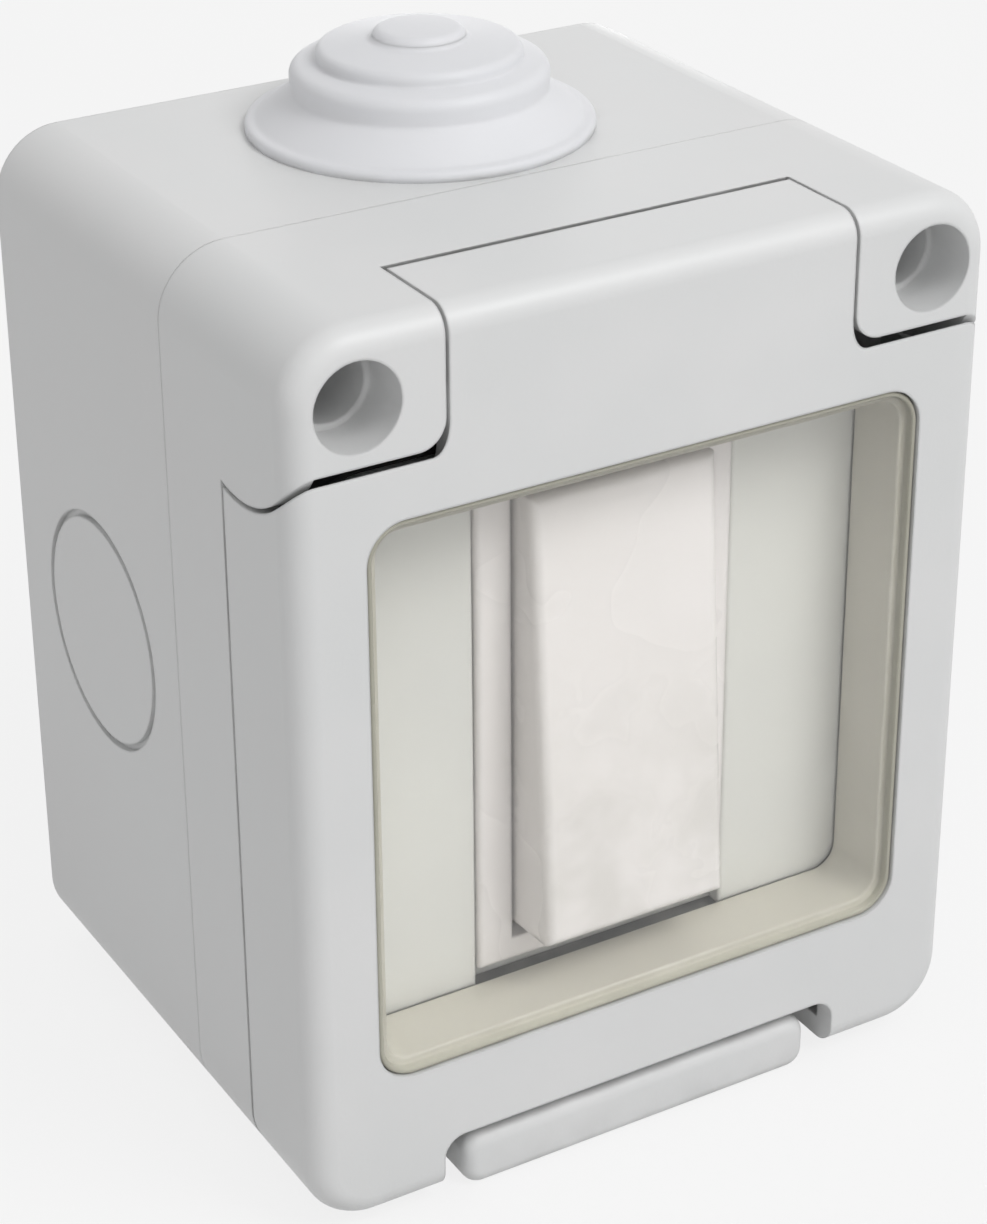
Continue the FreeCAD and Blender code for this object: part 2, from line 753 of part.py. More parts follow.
def make_lid_seal():
    body = new_body("lid_seal")
    sketch = new_sketch(body, "XZ", "band_depth - lip_root")
    window_outline(sketch, "(collar_wall + lip_width) / 2")
    window_outline(sketch, "(collar_wall - lip_width) / 2")
    pad(body, sketch, "collar_back - lip_gap - band_depth + lip_root")


def make_module_carrier():
    body = new_body("module_carrier")
    sketch = new_sketch(body, "XZ", "band_depth")
    window_outline(sketch, carrier_edge)
    pad(body, sketch, "carrier_thick")
    sketch = new_sketch(body, "XZ", "carrier_front")
    housing_outline(sketch, "seat_gap")
    pocket(body, sketch, "carrier_thick")
    sketch = new_sketch(body, "XZ", "carrier_front")
    carrier_circles(sketch, "carrier_head + screw_play")
    pocket(body, sketch, "carrier_head_high")
    sketch = new_sketch(body, "XZ", "carrier_front")
    carrier_circles(sketch, "carrier_shank + 2 * slide_fit")
    pocket(body, sketch, "carrier_thick")
    # slots for the legs of the blanking plates
    sketch = new_sketch(body, "XZ", "carrier_front")
    for side in ("", "-"):
        leg_rectangle(sketch, side, "seat_gap")
    pocket(body, sketch, "carrier_thick")


def leg_rectangle(sketch, side, grow):
    """Leg of a blanking plate, level with the switch's middle, moved outward by an amount."""
    half = f"(blank_leg / 2 + {grow})"
    ends = [f"{side}(carrier_screw_x - {half})", f"{side}(carrier_screw_x + {half})"]
    left, right = sorted(ends, key=value)
    rectangle(
        sketch,
        left,
        right,
        f"-module_drop - blank_leg_long / 2 - {grow}",
        f"-module_drop + blank_leg_long / 2 + {grow}",
    )


def make_carrier_screws():
    body = new_body("carrier_screws")
    seat = "carrier_front - carrier_head_high"
    sketch = new_sketch(body, "XZ", seat)
    carrier_circles(sketch, "carrier_head")
    pad(body, sketch, "carrier_head_high")
    sketch = new_sketch(body, "XZ", seat)
    carrier_circles(sketch, "carrier_shank")
    pad(body, sketch, "carrier_thick - carrier_head_high + carrier_bite", back=True)


def make_blank(label, side):
    """Blanking plate between the bezel and the carrier's edge, with a leg through the carrier."""
    body = new_body(label)
    outer = f"{side}(window_width / 2 + {carrier_edge})"
    left, right = sorted([f"{side}(bezel_width / 2 + seat_gap)", outer], key=value)
    sketch = new_sketch(body, "XZ", "carrier_front")
    rectangle(sketch, left, right, f"-window_low - {carrier_edge}", f"window_high + {carrier_edge}")
    pad(body, sketch, "blank_thick")
    edge = value(outer)
    thick = value("blank_thick")

    def outer_corner(box):
        return near(box.XMin, edge) and near(box.XMax, edge) and near(box.YLength, thick)

    soften(body, f"window_round + {carrier_edge}", outer_corner)
    front = value("carrier_front + blank_thick")
    soften(body, "blank_round", lambda box: at_depth(box, front))
    sketch = new_sketch(body, "XZ", "carrier_front")
    leg_rectangle(sketch, side, "0")
    pad(body, sketch, "carrier_thick", back=True)


# Formulas of the switch insert
module_z = "-module_drop"
clamp_back = "(housing_back + housing_wall)"
clamp_front = "(housing_back + housing_wall + clamp_long)"
contact_sweep = "(contact_offset + contact_dia / 2) * sin(lever_tilt)"
contact_face = (
    f"(lever_pivot - (lever_thick / 2 + contact_high) * cos(lever_tilt) - {contact_sweep} - contact_gap)"
)
terminal_levels = [module_z, f"{module_z} + terminal_step", f"{module_z} - terminal_step"]


def make_module_bezel():
    body = new_body("module_bezel")
    sketch = new_sketch(body, "XZ", "carrier_front")
    across, along = "bezel_width / 2", "bezel_height / 2"
    rectangle(sketch, f"-{across}", across, f"{module_z} - {along}", f"{module_z} + {along}")
    pad(body, sketch, "bezel_thick")
    front = value("carrier_front + bezel_thick")
    soften(body, "bezel_thick / 4", lambda box: at_depth(box, front))
    sketch = new_sketch(body, "XZ", "carrier_front + bezel_thick")
    across, along = "rocker_width / 2 + rocker_side_gap", "rocker_height / 2 + rocker_end_gap"
    rectangle(sketch, f"-({across})", across, f"{module_z} - ({along})", f"{module_z} + {along}")
    pocket(body, sketch, "bezel_thick")


def make_module_housing():
    body = new_body("module_housing")
    sketch = new_sketch(body, "XZ", "housing_back")
    housing_outline(sketch, "0")
    pad(body, sketch, "carrier_front - housing_back")
    sketch = new_sketch(body, "XZ", "carrier_front")
    housing_outline(sketch, "-housing_wall")
    pocket(body, sketch, f"carrier_front - {clamp_back}")
    # bores that the rocker's trunnions turn in
    sketch = new_sketch(body, "YZ")
    circle(sketch, "-rocker_pivot", module_z, "trunnion_dia / 2 + slide_fit")
    pocket(body, sketch, "2 * rocker_width", both=True)
    # screw holes in the back and wire holes in the right side
    sketch = new_sketch(body, "XZ", clamp_back)
    for level in terminal_levels:
        circle(sketch, "0", level, "clamp_head / 2 + seat_gap")
    pocket(body, sketch, "housing_wall")
    sketch = new_sketch(body, "YZ", "rocker_width")
    for level in terminal_levels:
        circle(sketch, f"-{clamp_back} - clamp_long / 2", level, "clamp_tall / 2 - clamp_wall")
    pocket(body, sketch, "rocker_width")


def tilt_with_rocker(body):
    """Stand a piece on the rocker's pivot, tipped with the rocker at rest."""
    body.Placement = FreeCAD.Placement(FreeCAD.Vector(), FreeCAD.Rotation(FreeCAD.Vector(-1, 0, 0), 10))
    tie(body, "Placement.Rotation.Angle", "rocker_tilt")
    tie(body, "Placement.Base.y", "-rocker_pivot")
    tie(body, "Placement.Base.z", module_z)


def make_rocker():
    body = new_body("rocker")
    across, along = "rocker_width / 2", "rocker_height / 2"
    sketch = new_sketch(body, "XZ", "rocker_skirt")
    rectangle(sketch, f"-{across}", across, f"-{along}", along)
    pad(body, sketch, "rocker_face - rocker_skirt")
    face = value("rocker_face")
    soften(body, "rocker_wall / 2", lambda box: at_depth(box, face))
    sketch = new_sketch(body, "XZ", "rocker_skirt")
    inner, end = f"{across} - rocker_wall", f"{along} - rocker_wall"
    rectangle(sketch, f"-({inner})", inner, f"-({end})", end)
    pocket(body, sketch, "rocker_face - rocker_skirt - rocker_wall", back=True)
    # side lugs that reach back to the trunnions
    sketch = new_sketch(body, "YZ", inner)
    rectangle(sketch, "-rocker_skirt - rocker_wall", "0", "-trunnion_dia", "trunnion_dia")
    lug = pad(body, sketch, "rocker_wall")
    mirror(body, lug)
    sketch = new_sketch(body, "YZ", inner)
    circle(sketch, "0", "0", "trunnion_dia")
    boss = pad(body, sketch, "rocker_wall")
    mirror(body, boss)
    sketch = new_sketch(body, "YZ", inner)
    circle(sketch, "0", "0", "trunnion_dia / 2")
    trunnion = pad(body, sketch, "rocker_wall + 2 * rocker_side_gap + housing_wall - 4 * seat_gap")
    mirror(body, trunnion)
    # post that guides the plunger and its spring
    sketch = new_sketch(body, "XZ", "-post_reach")
    circle(sketch, "0", "0", "post_dia / 2")
    pad(body, sketch, "post_reach + rocker_face - rocker_wall / 2")
    sketch = new_sketch(body, "XZ", "-post_reach")
    circle(sketch, "0", "0", "plunger_dia / 2 + slide_fit")
    pocket(body, sketch, "post_reach + rocker_face - rocker_wall", back=True)
    tilt_with_rocker(body)


def make_plunger():
    body = new_body("plunger")
    sketch = new_sketch(body, "XZ")
    circle(sketch, "0", "0", "plunger_dia / 2")
    pad(body, sketch, "plunger_reach", back=True)
    tip = -value("plunger_reach")
    soften(body, "plunger_dia / 2 - slide_fit", lambda box: at_depth(box, tip))
    tilt_with_rocker(body)


def make_plunger_spring():
    """Coil between the closed end of the rocker's post and the plunger, in short straight runs."""
    spring = doc.addObject("Part::Feature", "plunger_spring")
    spring.Label = "plunger_spring"
    steps, sides = 12, 8
    wire = sheet.get("spring_wire")
    # the bends of the mitred runs stand a little outside the coil's own line
    coil = value("plunger_dia / 2 - spring_wire / 2 - slide_fit - spring_bend")
    back = -wire / 2 - sheet.get("slide_fit")
    rise = value("rocker_face - rocker_wall - spring_wire - 2 * slide_fit")
    count = round(sheet.get("spring_turns") * steps)
    points = []
    for number in range(count + 1):
        angle = 2 * math.pi * number / steps
        depth = back - rise * number / count
        points.append(FreeCAD.Vector(coil * math.cos(angle), depth, coil * math.sin(angle)))
    ring = Part.Circle(points[0], points[1] - points[0], wire / 2)
    section = [ring.value(2 * math.pi * number / sides) for number in range(sides)]
    outline = Part.makePolygon(section + section[:1])
    right_corners = 1
    spring.Shape = Part.makePolygon(points).makePipeShell([outline], True, False, right_corners)
    tilt_with_rocker(spring)


def make_contact_lever():
    body = new_body("contact_lever")
    sketch = new_sketch(body, "XZ", "-lever_thick / 2")
    rectangle(sketch, "-lever_width / 2", "lever_width / 2", "-lever_half", "lever_half")
    pad(body, sketch, "lever_thick")
    sketch = new_sketch(body, "YZ")
    circle(sketch, "0", "0", "lever_pin / 2")
    pad(body, sketch, "lever_width + 2 * ear_gap + 2 * strip_thick - seat_gap", both=True)
    sketch = new_sketch(body, "XZ", "-lever_thick / 2")
    for level in ("", "-"):
        circle(sketch, "0", f"{level}contact_offset", "contact_dia / 2")
    pad(body, sketch, "contact_high", back=True)
    body.Placement = FreeCAD.Placement(FreeCAD.Vector(), FreeCAD.Rotation(FreeCAD.Vector(1, 0, 0), 10))
    tie(body, "Placement.Rotation.Angle", "lever_tilt")
    tie(body, "Placement.Base.y", "-lever_pivot")
    tie(body, "Placement.Base.z", module_z)


def make_common_terminal():
    """Folded bracket whose two ears carry the contact lever."""
    body = new_body("common_terminal")
    outer, inner = "(lever_width / 2 + ear_gap + strip_thick)", "(lever_width / 2 + ear_gap)"
    foot, floor, tip = f"-{clamp_front}", f"-{clamp_front} - strip_thick", "-lever_pivot - ear_over"
    sketch = new_sketch(body, "XY", module_z)
    polygon(sketch, [
        (f"-{outer}", foot),
        (outer, foot),
        (outer, tip),
        (inner, tip),
        (inner, floor),
        (f"-{inner}", floor),
        (f"-{inner}", tip),
        (f"-{outer}", tip),
    ])
    pad(body, sketch, "strip_width", both=True)
    sketch = new_sketch(body, "YZ")
    circle(sketch, "-lever_pivot", module_z, "lever_pin / 2 + slide_fit")
    pocket(body, sketch, "4 * lever_width", both=True)


def make_fixed_contact(label, sign):
    """Stepped strip from a terminal clamp to the contact button behind the lever's end."""
    body = new_body(label)
    front = f"-({contact_face} - contact_high)"
    back = f"{front} + strip_thick"
    foot, step = f"-{clamp_front}", f"-{clamp_front} - strip_thick"
    start = f"{module_z} {sign} (contact_offset - contact_dia / 2)"
    rise = f"{module_z} {sign} (contact_offset + contact_dia)"
    turn = f"{module_z} {sign} (contact_offset + contact_dia + strip_thick)"
    end = f"{module_z} {sign} (terminal_step + clamp_tall / 2)"
    sketch = new_sketch(body, "YZ")
    polygon(sketch, [
        (back, start),
        (front, start),
        (front, turn),
        (step, turn),
        (step, end),
        (foot, end),
        (foot, rise),
        (back, rise),
    ])
    pad(body, sketch, "strip_width", both=True)
    sketch = new_sketch(body, "XZ", f"{contact_face} - contact_high")
    circle(sketch, "0", f"{module_z} {sign} contact_offset", "contact_dia / 2")
    pad(body, sketch, "contact_high")


def make_terminal_clamps():
    body = new_body("terminal_clamps")
    sketch = new_sketch(body, "XZ", clamp_back)
    for level in terminal_levels:
        rectangle(
            sketch,
            "-clamp_width / 2",
            "clamp_width / 2",
            f"{level} - clamp_tall / 2",
            f"{level} + clamp_tall / 2",
        )
    pad(body, sketch, "clamp_long")
    sketch = new_sketch(body, "YZ")
    for level in terminal_levels:
        rectangle(
            sketch,
            f"-{clamp_front} + clamp_wall",
            f"-{clamp_back} - clamp_wall",
            f"{level} - clamp_tall / 2 + clamp_wall",
            f"{level} + clamp_tall / 2 - clamp_wall",
        )
    pocket(body, sketch, "2 * clamp_width", both=True)
    sketch = new_sketch(body, "XZ", clamp_back)
    for level in terminal_levels:
        circle(sketch, "0", level, "clamp_screw / 2 + slide_fit")
    pocket(body, sketch, "clamp_wall", back=True)


def make_terminal_screws():
    body = new_body("terminal_screws")
    head_high = "housing_wall - 2 * seat_gap"
    sketch = new_sketch(body, "XZ", clamp_back)
    for level in terminal_levels:
        circle(sketch, "0", level, "clamp_head / 2")
    pad(body, sketch, head_high, back=True)
    sketch = new_sketch(body, "XZ", clamp_back)
    for level in terminal_levels:
        circle(sketch, "0", level, "clamp_screw / 2")
    pad(body, sketch, "clamp_long / 2")
    sketch = new_sketch(body, "XZ", f"{clamp_back} - ({head_high})")
    for level in terminal_levels:
        low, high = f"{level} - screw_slot / 2", f"{level} + screw_slot / 2"
        rectangle(sketch, "-clamp_head", "clamp_head", low, high)
    pocket(body, sketch, "housing_wall / 2", back=True)


make_back_box()
make_cable_grommet()
make_base_seal()
make_front_frame()
make_frame_screws()
make_hinge_pin()
make_lid()
make_window_cover()
make_lid_seal()
make_module_carrier()
make_carrier_screws()
make_blank("blank_left", "-")
make_blank("blank_right", "")
make_module_bezel()
make_module_housing()
make_rocker()
make_plunger()
make_plunger_spring()
make_contact_lever()
make_common_terminal()
make_fixed_contact("contact_upper", "+")
make_fixed_contact("contact_lower", "-")
make_terminal_clamps()
make_terminal_screws()
doc.recompute()

for item in doc.Objects:
    if "Invalid" in item.State or "Error" in item.State:
        raise RuntimeError(f"{item.Label} failed: {item.State}")
pieces = doc.findObjects("PartDesign::Body") + [doc.getObject("plunger_spring")]
for piece in pieces:
    if piece.Shape.isNull() or not piece.Shape.isValid():
        raise RuntimeError(f"{piece.Label} has no valid shape")
for piece in pieces:
    piece.Shape.exportStep(f"parts/{piece.Label}.step")
    print(f"{piece.Label}: {len(piece.Shape.Solids)} solids, {piece.Shape.Volume:.1f} mm3")
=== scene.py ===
import math

import bmesh
import bpy
from mathutils import Matrix, Vector


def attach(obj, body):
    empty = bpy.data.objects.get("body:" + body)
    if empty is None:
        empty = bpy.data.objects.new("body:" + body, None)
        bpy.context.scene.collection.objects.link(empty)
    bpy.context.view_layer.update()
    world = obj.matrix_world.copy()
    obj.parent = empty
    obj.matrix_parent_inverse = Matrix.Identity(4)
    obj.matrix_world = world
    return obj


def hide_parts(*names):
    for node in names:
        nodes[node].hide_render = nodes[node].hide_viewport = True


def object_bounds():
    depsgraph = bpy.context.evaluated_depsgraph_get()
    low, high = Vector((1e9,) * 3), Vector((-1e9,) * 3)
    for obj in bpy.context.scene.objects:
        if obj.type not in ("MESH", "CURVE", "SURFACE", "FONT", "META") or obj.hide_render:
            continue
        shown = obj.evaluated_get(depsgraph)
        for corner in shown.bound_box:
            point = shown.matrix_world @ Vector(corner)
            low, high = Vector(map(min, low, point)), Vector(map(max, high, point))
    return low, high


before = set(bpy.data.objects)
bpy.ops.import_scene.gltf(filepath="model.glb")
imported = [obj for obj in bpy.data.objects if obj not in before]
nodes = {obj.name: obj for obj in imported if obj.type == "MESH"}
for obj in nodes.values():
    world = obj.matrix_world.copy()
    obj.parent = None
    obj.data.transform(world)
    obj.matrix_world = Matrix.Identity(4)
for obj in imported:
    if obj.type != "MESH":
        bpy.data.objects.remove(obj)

cadLow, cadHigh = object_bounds()
scene = bpy.context.scene
mm = 0.001
perMetre = 1000.0  # millimetres, for texture scales
nodeGrid = 200  # spacing in the node editor
print("frame loaded:", len(nodes), "nodes")


def linear(red, green, blue):
    # screen values 0 to 255 to the linear values that sockets take
    out = []
    for part in (red, green, blue):
        part /= 255
        out.append(part / 12.92 if part <= 0.04045 else ((part + 0.055) / 1.055) ** 2.4)
    return (*out, 1.0)


def addNode(tree, kind, spot, **settings):
    node = tree.nodes.new("ShaderNode" + kind)
    node.location = (spot[0] * nodeGrid, spot[1] * nodeGrid)
    for name, given in settings.items():
        setattr(node, name, given)
    return node


def feed(tree, target, given):
    # a socket makes a link, a plain value is set on the input
    if isinstance(given, bpy.types.NodeSocket):
        tree.links.new(given, target)
    else:
        target.default_value = given


def mathNode(tree, operation, first, second, spot, clamp=False):
    node = addNode(tree, "Math", spot, operation=operation, use_clamp=clamp)
    feed(tree, node.inputs[0], first)
    feed(tree, node.inputs[1], second)
    return node.outputs[0]


def mixColour(tree, factor, first, second, spot):
    node = addNode(tree, "Mix", spot, data_type="RGBA")
    feed(tree, node.inputs[0], factor)
    feed(tree, node.inputs[6], first)  # 6, 7 and output 2 are the colour sockets
    feed(tree, node.inputs[7], second)
    return node.outputs[2]


def spread(tree, given, limits, spot, results=(0.0, 1.0)):
    # soft ramp: limits of the given value to the two results
    node = addNode(tree, "MapRange", spot, interpolation_type="SMOOTHSTEP")
    feed(tree, node.inputs["Value"], given)
    node.inputs["From Min"].default_value, node.inputs["From Max"].default_value = limits
    node.inputs["To Min"].default_value, node.inputs["To Max"].default_value = results
    return node.outputs["Result"]


def objectSpot(tree, spot):
    return addNode(tree, "TexCoord", spot).outputs["Object"]


def newGroup(name, inputs, outputs):
    group = bpy.data.node_groups.new(name, "ShaderNodeTree")
    for label, start in inputs:
        socket = group.interface.new_socket(label, in_out="INPUT", socket_type="NodeSocketFloat")
        socket.default_value = start
    for label, kind in outputs:
        group.interface.new_socket(label, in_out="OUTPUT", socket_type="NodeSocket" + kind)
    start = group.nodes.new("NodeGroupInput")
    start.location = (-6 * nodeGrid, 0)
    end = group.nodes.new("NodeGroupOutput")
    end.location = (6 * nodeGrid, 0)
    return group, start.outputs, end.inputs


grainTexture = {"fineDetail": 3.0, "waveDetail": 2.0}


def makeMouldGrain():
    # spark-eroded mould texture: fine pits over a slow waviness, sizes in millimetres
    group, given, out = newGroup(
        "mouldGrain",
        [("Grain Size", 0.3), ("Wave Size", 20.0), ("Pits", 0.5)],
        [("Height", "Float"), ("Tone", "Float")],
    )
    spot = objectSpot(group, (-6, -2))
    fineScale = mathNode(group, "DIVIDE", perMetre, given["Grain Size"], (-5, 1))
    waveScale = mathNode(group, "DIVIDE", perMetre, given["Wave Size"], (-5, -1))
    fine = addNode(group, "TexNoise", (-3, 2))
    wave = addNode(group, "TexNoise", (-3, -1))
    pit = addNode(group, "TexVoronoi", (-3, 4), feature="SMOOTH_F1")
    fine.inputs["Detail"].default_value = grainTexture["fineDetail"]
    wave.inputs["Detail"].default_value = grainTexture["waveDetail"]
    for texture, scale in ((fine, fineScale), (wave, waveScale), (pit, fineScale)):
        group.links.new(spot, texture.inputs["Vector"])
        group.links.new(scale, texture.inputs["Scale"])
    pits = mathNode(group, "MULTIPLY", pit.outputs["Distance"], given["Pits"], (-1, 4))
    height = mathNode(group, "ADD", fine.outputs["Fac"], pits, (1, 3))
    group.links.new(height, out["Height"])
    group.links.new(wave.outputs["Fac"], out["Tone"])
    return group


wearTexture = {"samples": 3, "bend": (0.995, 0.80), "patches": (0.35, 0.65)}


def makeEdgeWear():
    # rubbed corners: where a rounded normal leaves the true one, broken up by noise
    group, given, out = newGroup(
        "edgeWear",
        [("Radius", 0.4), ("Patchiness", 6.0)],
        [("Mask", "Float"), ("Normal", "Vector")],
    )
    radius = mathNode(group, "MULTIPLY", given["Radius"], mm, (-5, 1))
    scale = mathNode(group, "DIVIDE", perMetre, given["Patchiness"], (-5, -2))
    bevel = addNode(group, "Bevel", (-3, 1), samples=wearTexture["samples"])
    group.links.new(radius, bevel.inputs["Radius"])
    shape = addNode(group, "NewGeometry", (-3, -1))
    agree = addNode(group, "VectorMath", (-1, 1), operation="DOT_PRODUCT")
    group.links.new(bevel.outputs["Normal"], agree.inputs[0])
    group.links.new(shape.outputs["Normal"], agree.inputs[1])
    edge = spread(group, agree.outputs["Value"], wearTexture["bend"], (1, 1))
    patch = addNode(group, "TexNoise", (-1, -2))
    group.links.new(objectSpot(group, (-3, -3)), patch.inputs["Vector"])
    group.links.new(scale, patch.inputs["Scale"])
    broken = spread(group, patch.outputs["Fac"], wearTexture["patches"], (1, -2))
    group.links.new(mathNode(group, "MULTIPLY", edge, broken, (3, 0)), out["Mask"])
    group.links.new(bevel.outputs["Normal"], out["Normal"])
    return group


# settings of the painted shade in corners and its dust clouds
shadeAndDustTexture = {"samples": 2, "corner": (0.75, 0.2), "cloudScale": 220.0, "clouds": (0.25, 0.7)}


def makeCornerShadeAndDust():
    # painted shade where walls meet, darker in corners and hollows, broken up by clouds like a patchy film
    # of dust
    group, given, out = newGroup("cornerShadeAndDust", [("Reach", 3.0)], [("Mask", "Float")])
    reach = mathNode(group, "MULTIPLY", given["Reach"], mm, (-5, 0))
    shade = addNode(group, "AmbientOcclusion", (-3, 0), samples=shadeAndDustTexture["samples"])
    group.links.new(reach, shade.inputs["Distance"])
    corner = spread(group, shade.outputs["AO"], shadeAndDustTexture["corner"], (-1, 0))
    cloud = addNode(group, "TexNoise", (-1, -2))
    cloud.inputs["Scale"].default_value = shadeAndDustTexture["cloudScale"]
    group.links.new(objectSpot(group, (-3, -2)), cloud.inputs["Vector"])
    thick = spread(group, cloud.outputs["Fac"], shadeAndDustTexture["clouds"], (1, -2))
    group.links.new(mathNode(group, "MULTIPLY", corner, thick, (3, 0)), out["Mask"])
    return group


mouldGrain = makeMouldGrain()
edgeWear = makeEdgeWear()
cornerShadeAndDust = makeCornerShadeAndDust()
print("shader groups made")


def placeGroup(tree, group, spot, **values):
    node = addNode(tree, "Group", spot)
    node.node_tree = group
    for label, given in values.items():
        node.inputs[label.replace("_", " ")].default_value = given
    return node.outputs


def newMaterial(name):
    material = bpy.data.materials.new(name)
    material.use_nodes = True
    tree = material.node_tree
    return material, tree, tree.nodes["Principled BSDF"]


def addBump(tree, shader, look, height, spot):
    bump = addNode(tree, "Bump", spot)
    bump.inputs["Strength"].default_value = look["bump"]
    bump.inputs["Distance"].default_value = look["bumpDepth"] * mm
    tree.links.new(height, bump.inputs["Height"])
    tree.links.new(bump.outputs["Normal"], shader.inputs["Normal"])
    return bump


# what a finish has unless its own look says otherwise, lengths in millimetres
plain = {
    "grain": 0.35, "wave": 18.0, "pits": 0.6, "edge": 0.35, "patch": 5.0,
    "dark": (219, 220, 220), "pale": (225, 225, 225), "tones": (0.2, 0.8),
    "rubbed": (238, 238, 238), "wear": 0.5,
    # painted shade in corners and hollows, mixed with some dust: strength, reach, colour and roughness
    "shadeAndDust": 0.35, "shadeAndDustReach": 2.5, "shadeAndDustColour": (170, 168, 160), "shadeAndDustRough": 0.3,
    "rough": 0.42, "roughVary": 0.06, "roughTones": (0.25, 0.75),
    "bump": 0.25, "bumpDepth": 0.02, "metal": 0.0, "soft": 0.0, "softReach": 1.0, "sheen": 0.0,
}
looks = {
    # the shell's screw wells and deep corners get the strongest painted shade
    "shell": {"shadeAndDustReach": 5.0, "shadeAndDust": 0.5, "shadeAndDustColour": (150, 150, 148)},
    "grommet_rubber": {
        "dark": (224, 225, 228), "pale": (231, 231, 234), "rubbed": (240, 240, 242),
        "rough": 0.5, "soft": 0.15, "sheen": 0.1, "grain": 0.5, "edge": 0.5,
    },
    "seal_rubber": {
        "dark": (52, 52, 54), "pale": (66, 66, 68), "rubbed": (96, 96, 98),
        "rough": 0.72, "sheen": 0.2, "grain": 0.25, "shadeAndDust": 0.5,
    },
    "zinc_steel": {
        "dark": (178, 179, 182), "pale": (205, 206, 206), "rubbed": (226, 226, 226), "metal": 1.0,
        "rough": 0.34, "roughVary": 0.1, "grain": 0.15, "wave": 3.0, "shadeAndDust": 0.5,
    },
    "plate": {
        "dark": (208, 208, 206), "pale": (214, 214, 211), "rubbed": (228, 228, 226),
        "rough": 0.36, "bump": 0.06,
    },
    "switch_white": {
        "dark": (223, 219, 219), "pale": (228, 224, 225), "rubbed": (243, 242, 241),
        "rough": 0.26, "bump": 0.12, "edge": 0.5,
    },
    "insulator": {
        "dark": (196, 193, 186), "pale": (204, 202, 195), "rubbed": (222, 220, 215), "rough": 0.5,
    },
    "nylon": {"dark": (226, 221, 208), "pale": (233, 229, 218), "rough": 0.4, "soft": 0.2},
    "spring_steel": {
        "dark": (150, 150, 150), "pale": (186, 186, 184), "metal": 1.0,
        "rough": 0.28, "grain": 0.1, "wave": 1.5,
    },
    "window_tray": {
        "dark": (190, 187, 177), "pale": (199, 196, 187), "rubbed": (218, 216, 208),
        "rough": 0.34, "soft": 0.35, "bump": 0.1, "shadeAndDust": 0.25, "shadeAndDustColour": (160, 156, 140),
    },
    # front rim of the tray: darker khaki, painted shade of the groove between lid and cover
    "window_rim_painted_shade": {
        "dark": (176, 174, 160), "pale": (188, 186, 172), "rubbed": (214, 212, 200), "wear": 0.3,
        "rough": 0.3, "soft": 0.2, "bump": 0.1, "shadeAndDustColour": (150, 146, 130),
    },
    "brass": {
        "dark": (196, 158, 84), "pale": (218, 184, 108), "rubbed": (236, 210, 146), "metal": 1.0,
        "rough": 0.32, "grain": 0.15, "wave": 4.0, "shadeAndDustColour": (120, 96, 60),
    },
}


def surface(name, look):
    # one recipe for moulded, rubber and metal finishes, each with its own values
    material, tree, shader = newMaterial(name)
    grain = placeGroup(
        tree, mouldGrain, (-6, 2), Grain_Size=look["grain"], Wave_Size=look["wave"], Pits=look["pits"]
    )
    worn = placeGroup(tree, edgeWear, (-6, 0), Radius=look["edge"], Patchiness=look["patch"])
    shadeAndDust = placeGroup(tree, cornerShadeAndDust, (-6, -2), Reach=look["shadeAndDustReach"])
    tone = spread(tree, grain["Tone"], look["tones"], (-4, 3))
    body = mixColour(tree, tone, linear(*look["dark"]), linear(*look["pale"]), (-3, 2))
    rubbed = mathNode(tree, "MULTIPLY", worn["Mask"], look["wear"], (-4, 0))
    body = mixColour(tree, rubbed, body, linear(*look["rubbed"]), (-2, 1))
    # painted shade: corners and hollows darkened towards a grey, with some dust
    paintedShadeAndDust = mathNode(tree, "MULTIPLY", shadeAndDust["Mask"], look["shadeAndDust"], (-4, -2))
    body = mixColour(tree, paintedShadeAndDust, body, linear(*look["shadeAndDustColour"]), (-1, 0))
    tree.links.new(body, shader.inputs["Base Color"])
    roughLimits = (look["rough"] - look["roughVary"], look["rough"] + look["roughVary"])
    rough = spread(tree, grain["Tone"], look["roughTones"], (-3, -1), roughLimits)
    dulled = mathNode(tree, "MULTIPLY", paintedShadeAndDust, look["shadeAndDustRough"], (-3, -3))
    rough = mathNode(tree, "ADD", rough, dulled, (-2, -2), True)
    tree.links.new(rough, shader.inputs["Roughness"])
    bump = addBump(tree, shader, look, grain["Height"], (-2, -4))
    tree.links.new(worn["Normal"], bump.inputs["Normal"])
    shader.inputs["Metallic"].default_value = look["metal"]
    shader.inputs["Subsurface Weight"].default_value = look["soft"]
    shader.inputs["Subsurface Radius"].default_value = [look["softReach"] * mm] * 3
    shader.inputs["Sheen Weight"].default_value = look["sheen"]
    return material


clearSheet = {
    "clear": (252, 252, 250), "shadow": (252, 252, 250), "bend": 1.49,
    "grain": 6.0, "wave": 14.0, "pits": 0.2, "bump": 0.015, "bumpDepth": 0.1,
    "rough": (0.01, 0.05), "roughTones": (0.3, 0.7),
}


